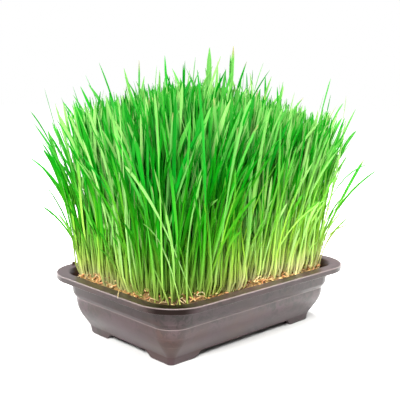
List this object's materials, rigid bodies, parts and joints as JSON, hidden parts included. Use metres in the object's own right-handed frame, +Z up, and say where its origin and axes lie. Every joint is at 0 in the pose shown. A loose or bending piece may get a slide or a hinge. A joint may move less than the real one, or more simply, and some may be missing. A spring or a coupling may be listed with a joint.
{
  "type": "wheatgrass tray",
  "caption": "Rectangular moulded plastic tray on corner feet, filled with growing mix and a dense stand of young wheatgrass.",
  "frame": {"origin": "middle of the footprint, on the surface that the feet stand on", "axes": "+X along the tray's long side, +Y along its short side, +Z up out of the tray"},
  "size_m": [0.2896, 0.2082, 0.2716],
  "materials": {
    "tray_plastic": "satin purple-brown moulded plastic with faint mottling and water marks",
    "growing_mix": "moist dark brown crumbly growing mix",
    "grass": "fresh green leaf blades, satin, paler to cream at the base, in a mat of straw-coloured husks and roots"
  },
  "bodies": {
    "root": {"tray": "tray_plastic", "growing_mix": "growing_mix", "grass_patch_1_1": "grass", "grass_patch_1_2": "grass", "grass_patch_1_3": "grass", "grass_patch_1_4": "grass", "grass_patch_1_5": "grass", "grass_patch_1_6": "grass", "grass_patch_2_1": "grass", "grass_patch_2_2": "grass", "grass_patch_2_3": "grass", "grass_patch_2_4": "grass", "grass_patch_2_5": "grass", "grass_patch_2_6": "grass", "grass_patch_3_1": "grass", "grass_patch_3_2": "grass", "grass_patch_3_3": "grass", "grass_patch_3_4": "grass", "grass_patch_3_5": "grass", "grass_patch_3_6": "grass", "grass_patch_4_1": "grass", "grass_patch_4_2": "grass", "grass_patch_4_3": "grass", "grass_patch_4_4": "grass", "grass_patch_4_5": "grass", "grass_patch_4_6": "grass", "grass_patch_5_1": "grass", "grass_patch_5_2": "grass", "grass_patch_5_3": "grass", "grass_patch_5_4": "grass", "grass_patch_5_5": "grass", "grass_patch_5_6": "grass", "grass_patch_6_1": "grass", "grass_patch_6_2": "grass", "grass_patch_6_3": "grass", "grass_patch_6_4": "grass", "grass_patch_6_5": "grass", "grass_patch_6_6": "grass", "grass_patch_7_1": "grass", "grass_patch_7_2": "grass", "grass_patch_7_3": "grass", "grass_patch_7_4": "grass", "grass_patch_7_5": "grass", "grass_patch_7_6": "grass", "grass_patch_8_1": "grass", "grass_patch_8_2": "grass", "grass_patch_8_3": "grass", "grass_patch_8_4": "grass", "grass_patch_8_5": "grass", "grass_patch_8_6": "grass"}
  },
  "joints": []
}
